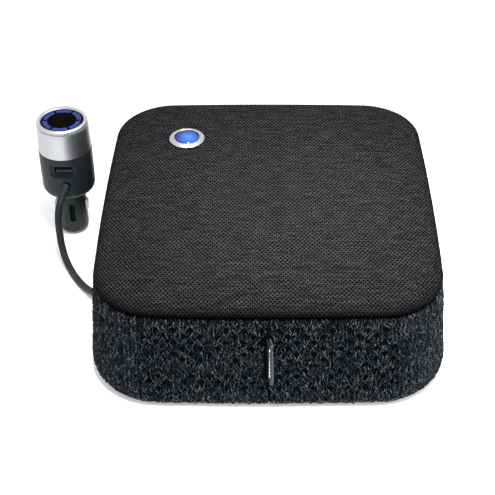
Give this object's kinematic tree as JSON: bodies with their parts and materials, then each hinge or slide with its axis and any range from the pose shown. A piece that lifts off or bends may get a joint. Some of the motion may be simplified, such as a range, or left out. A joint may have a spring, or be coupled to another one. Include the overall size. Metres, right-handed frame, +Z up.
{
  "type": "conference speakerphone",
  "caption": "Fabric-covered speakerphone pod with a lit power button, upward loudspeaker and corner microphones, on a short lead from a 12 V plug with a USB port and a turning collar.",
  "frame": {"origin": "centre of the pod's non-slip underside, on the surface it stands on", "axes": "+Z up; -Y is the front, the side with the sewn label; the plug stands on -X"},
  "size_m": [0.2712, 0.2454, 0.092],
  "materials": {
    "knit_fabric": "chunky dark blue-charcoal knit mesh with pale flecks",
    "woven_fabric": "charcoal twill with fine lighter threads",
    "foam": "open-cell foam, dark",
    "ribbon": "grey woven ribbon",
    "silicone": "matte non-slip silicone",
    "black_plastic": "moulded, fine spark texture",
    "slate_plastic": "satin moulded slate grey",
    "gloss_black": "gloss black face",
    "blue_light": "translucent blue light guide, lit",
    "dark_lens": "smoked window",
    "chrome": "polished",
    "satin_aluminium": "satin turned with polished rim",
    "nickel": "nickel plated",
    "black_steel": "black-plated sheet steel",
    "steel": "zinc plated steel",
    "ferrite": "ferrite magnet and steel plates",
    "cone_paper": "pressed paper cone",
    "soft_rubber": "soft rubber",
    "circuit_board": "green solder mask",
    "chip": "moulded component body",
    "led_white": "LED body",
    "cord_rubber": "matte slate lead jacket"
  },
  "bodies": {
    "pod": {"base_pad": "silicone", "base_plate": "black_plastic", "housing_tub": "black_plastic", "side_foam": "foam", "side_band": "knit_fabric", "top_frame": "black_plastic", "top_foam": "foam", "top_cover": "woven_fabric", "front_label": "ribbon", "driver_basket": "steel", "driver_magnet": "ferrite", "driver_surround": "soft_rubber", "driver_spider": "ribbon", "base_screws": "steel", "frame_screws": "steel", "driver_screws": "steel", "board_screws": "steel", "main_board": "circuit_board", "radio_module": "nickel", "echo_processor": "chip", "amplifier_and_choke": "chip", "board_capacitors": "chip", "lead_socket": "led_white", "button_bezel": "chrome", "button_housing": "black_plastic", "button_board": "circuit_board", "button_switch": "chip", "button_leds": "led_white", "button_spring": "steel", "plug_barrel": "slate_plastic", "plug_nose_cap": "slate_plastic", "tip_spring": "steel", "fuse_contact_plate": "nickel", "indicator_window": "dark_lens", "plug_head": "slate_plastic", "head_lid": "slate_plastic", "usb_shell": "black_steel", "usb_tongue": "chip", "plug_board": "circuit_board", "plug_converter_parts": "chip", "plug_strain_relief": "cord_rubber", "display_pillar": "black_plastic", "rotary_encoder": "chip", "display_board": "circuit_board", "call_switch": "chip", "display_leds": "led_white", "display_face": "gloss_black", "light_segments": "blue_light", "lead_gland": "cord_rubber", "power_lead": "cord_rubber", "microphone_boots": "soft_rubber", "microphones": "chip"},
    "power_button": {"button_lens": "blue_light"},
    "speaker_cone": {"driver_cone": "cone_paper"},
    "tip": {"tip_contact": "nickel", "plug_fuse": "led_white"},
    "left_contact": {"side_contact_left": "nickel"},
    "right_contact": {"side_contact_right": "nickel"},
    "collar": {"volume_collar": "satin_aluminium"},
    "call_key": {"call_button": "gloss_black"}
  },
  "joints": [
    {"name": "power_button_press", "type": "slide", "parent": "pod", "child": "power_button", "axis": [0, 0, -1], "range_m": [0, 0.0012], "stiffness_N_per_m": 900, "springref_m": -0.0004, "deforming": ["button_spring"]},
    {"name": "speaker_cone_travel", "type": "slide", "parent": "pod", "child": "speaker_cone", "axis": [0, 0, 1], "range_m": [-0.002, 0.002], "stiffness_N_per_m": 1500, "deforming": ["driver_surround", "driver_spider"]},
    {"name": "tip_contact_press", "type": "slide", "parent": "pod", "child": "tip", "axis": [0, 0, 1], "range_m": [0, 0.0025], "stiffness_N_per_m": 1200, "deforming": ["tip_spring"]},
    {"name": "left_contact_press", "type": "slide", "parent": "pod", "child": "left_contact", "axis": [1, 0, 0], "range_m": [0, 0.0018], "stiffness_N_per_m": 1500},
    {"name": "right_contact_press", "type": "slide", "parent": "pod", "child": "right_contact", "axis": [-1, 0, 0], "range_m": [0, 0.0018], "stiffness_N_per_m": 1500},
    {"name": "volume_collar_turn", "type": "hinge", "parent": "pod", "child": "collar", "pos_m": [-0.1408, 0.0637, 0.081], "axis": [0, 0, 1], "continuous": true},
    {"name": "call_button_press", "type": "slide", "parent": "pod", "child": "call_key", "axis": [0, 0, -1], "range_m": [0, 0.0006], "stiffness_N_per_m": 1500, "springref_m": -0.0002}
  ]
}
